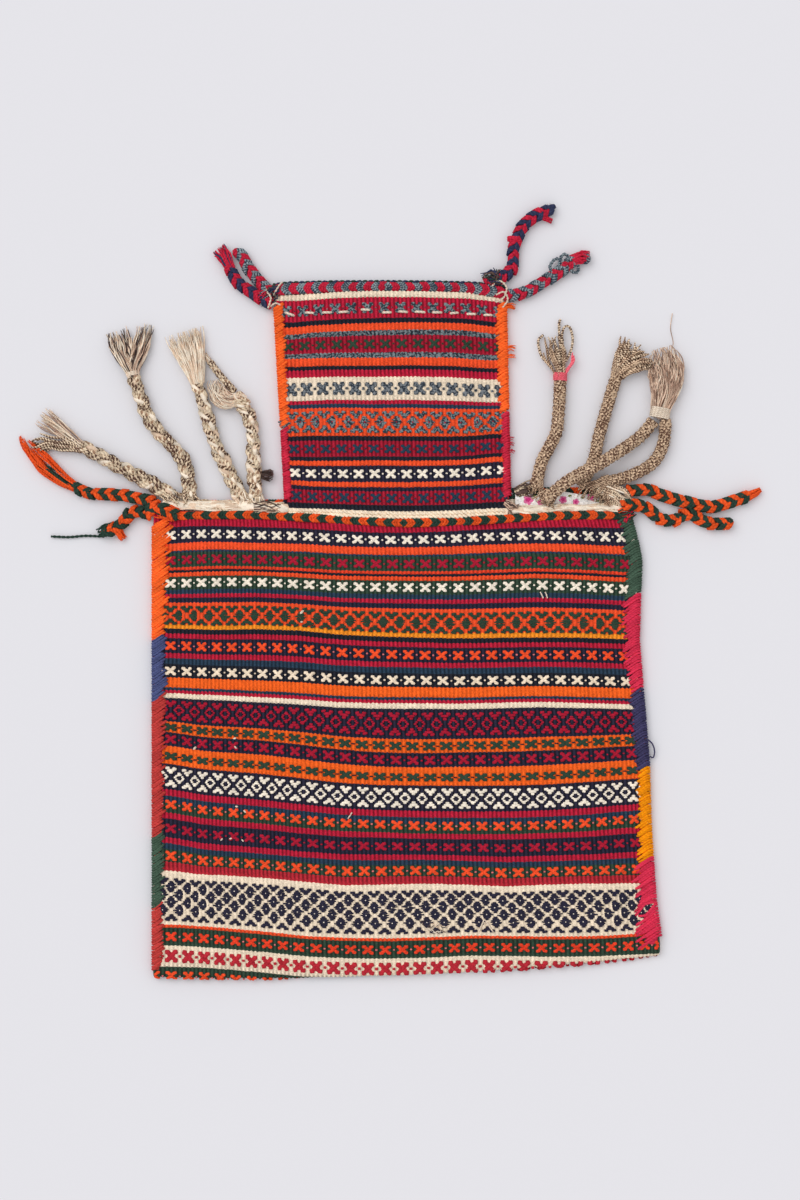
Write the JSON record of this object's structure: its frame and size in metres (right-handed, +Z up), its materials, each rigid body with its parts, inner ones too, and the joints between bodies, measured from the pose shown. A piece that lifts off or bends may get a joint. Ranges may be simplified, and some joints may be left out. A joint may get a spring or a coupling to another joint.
{
  "type": "salt bag",
  "caption": "Flat woollen salt bag with a wide banded body, a narrow open neck, whipped sides, and plaits and braids at its shoulders and mouth.",
  "frame": {"origin": "middle of the bag without its cords, on the surface that it lies on", "axes": "+X to the right of the front as it is seen from above, +Y from the bottom fold to the mouth, +Z up out of the front"},
  "size_m": [0.5769, 0.6045, 0.0216],
  "materials": {
    "banded_cloth": "matt wool",
    "blue_wool": "matt wool",
    "brown_wool": "matt wool",
    "cream_wool": "matt wool",
    "crimson_wool": "matt wool",
    "green_wool": "matt wool",
    "grey_wool": "matt wool",
    "navy_wool": "matt wool",
    "orange_wool": "matt wool",
    "pink_wool": "matt wool",
    "printed_cotton": "matt printed cotton",
    "rose_wool": "matt wool",
    "rust_wool": "matt wool",
    "undyed_wool": "matt wool",
    "yellow_wool": "matt wool"
  },
  "bodies": {
    "root": {"bag_cloth": "banded_cloth", "whipping_left_orange": "orange_wool", "whipping_left_blue": "blue_wool", "whipping_left_rust_upper": "rust_wool", "whipping_left_green": "green_wool", "whipping_left_rust_lower": "rust_wool", "whipping_right_green": "green_wool", "whipping_right_rose": "rose_wool", "whipping_right_navy": "navy_wool", "whipping_right_yellow": "yellow_wool", "whipping_right_crimson": "crimson_wool", "neck_whipping_left_orange": "orange_wool", "neck_whipping_left_rose": "rose_wool", "neck_whipping_right_orange": "orange_wool", "neck_whipping_right_rose": "rose_wool", "shoulder_edging_front": "orange_wool", "shoulder_edging_back_left": "orange_wool", "shoulder_edging_back_right": "orange_wool", "mouth_edging_front": "grey_wool", "mouth_edging_back": "navy_wool", "shoulder_warps_left": "undyed_wool", "shoulder_warps_right": "undyed_wool", "lining_strip": "printed_cotton", "plait_left_1": "undyed_wool", "plait_left_2": "undyed_wool", "plait_left_3": "undyed_wool", "plait_left_4": "undyed_wool", "plait_right_1": "brown_wool", "plait_right_2": "brown_wool", "plait_right_3": "brown_wool", "plait_right_4": "brown_wool", "braid_left_upper": "orange_wool", "braid_left_lower": "orange_wool", "braid_left_lower_tail": "green_wool", "braid_right_upper": "orange_wool", "braid_right_lower": "orange_wool", "mouth_braid_left_grey": "grey_wool", "mouth_braid_left_navy": "navy_wool", "mouth_braid_right_navy": "navy_wool", "mouth_braid_right_grey": "grey_wool", "plait_left_1_tassel": "undyed_wool", "plait_left_2_wrap": "cream_wool", "plait_left_2_tassel": "undyed_wool", "plait_left_3_tassel": "undyed_wool", "plait_left_4_knot": "undyed_wool", "plait_left_4_hank": "undyed_wool", "plait_left_4_tail": "undyed_wool", "plait_right_1_tie": "pink_wool", "plait_right_1_tassel": "brown_wool", "plait_right_2_loops": "brown_wool", "plait_right_pair_tie": "cream_wool", "plait_right_pair_tassel": "brown_wool", "braid_left_upper_tassel": "orange_wool", "braid_right_upper_tip": "orange_wool", "mouth_braid_left_navy_tassel": "crimson_wool"}
  },
  "joints": []
}
